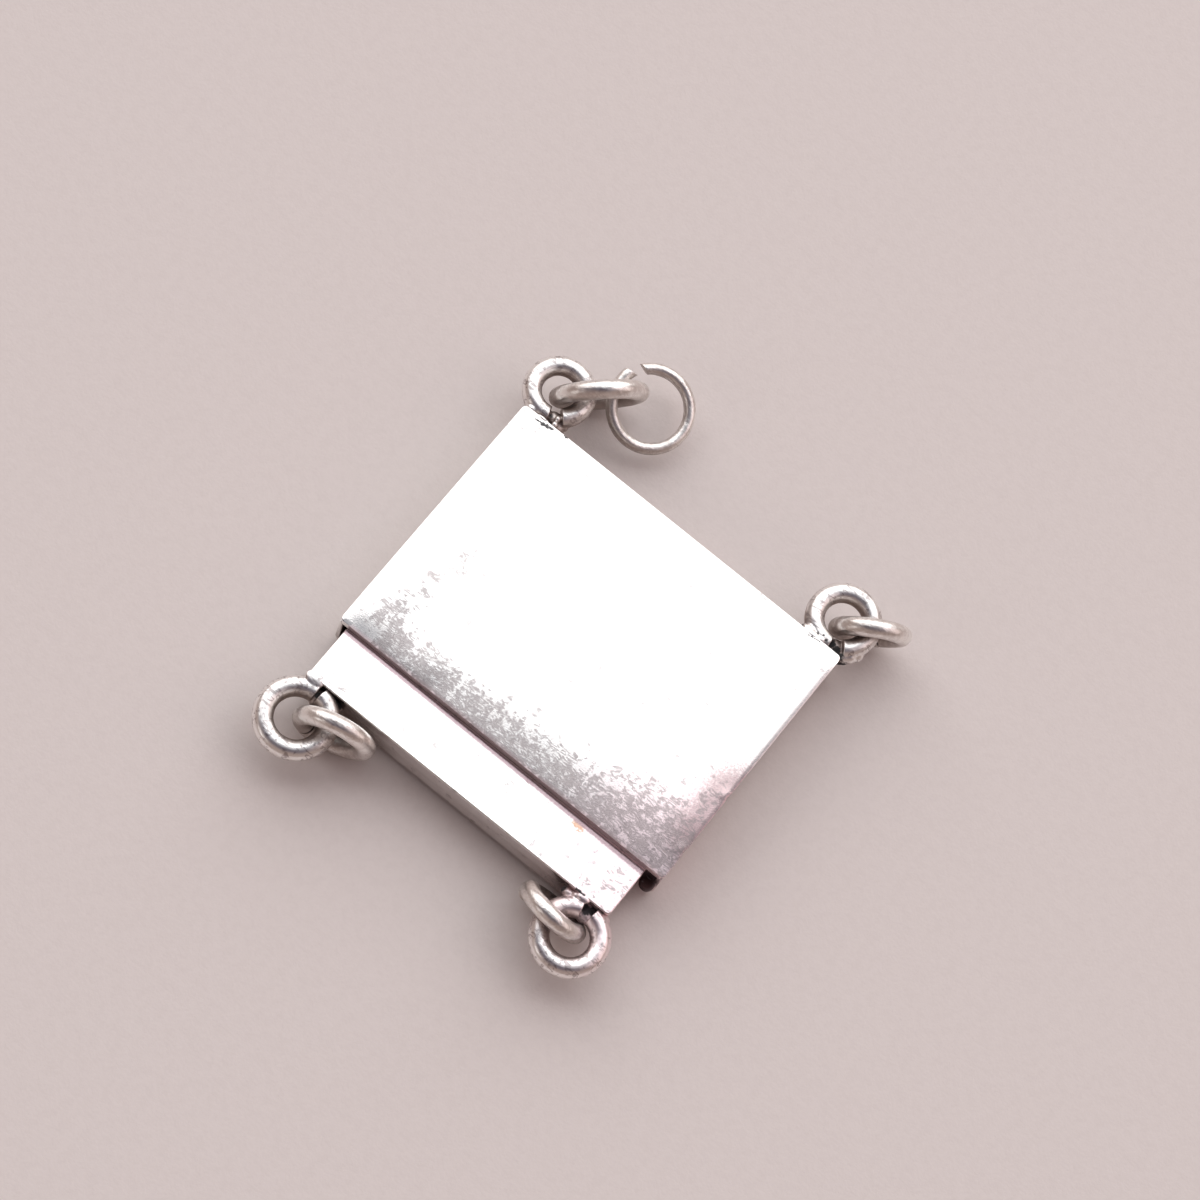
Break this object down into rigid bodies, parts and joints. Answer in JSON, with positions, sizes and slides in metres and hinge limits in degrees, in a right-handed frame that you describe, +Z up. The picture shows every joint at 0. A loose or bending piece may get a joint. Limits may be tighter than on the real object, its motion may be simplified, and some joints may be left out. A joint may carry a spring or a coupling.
{
  "type": "box clasp",
  "caption": "Flat rectangular box clasp: a sliding spring tongue with a release tab, soldered wire eyes at its corners and jump rings for the strands.",
  "frame": {"origin": "middle of the case's flat underside, halfway between its mouth and its back wall", "axes": "+Z up through the top plate, +Y from the mouth to the back wall, +X along the case; the tongue pulls out along -Y"},
  "size_m": [0.0214, 0.0264, 0.0047],
  "materials": {
    "polished_silver": "polished silver with fine scratches and tarnish in the recesses",
    "ring_silver": "worn, slightly tarnished silver wire"
  },
  "bodies": {
    "case": {"case": "polished_silver", "ring_back_left": "ring_silver", "ring_back_right": "ring_silver", "open_ring": "ring_silver"},
    "tongue": {"tongue": "polished_silver", "ring_front_left": "ring_silver", "ring_front_right": "ring_silver"}
  },
  "joints": [
    {"name": "tongue_slide", "type": "slide", "parent": "case", "child": "tongue", "axis": [0, -1, 0], "range_m": [0, 0.0135]}
  ]
}
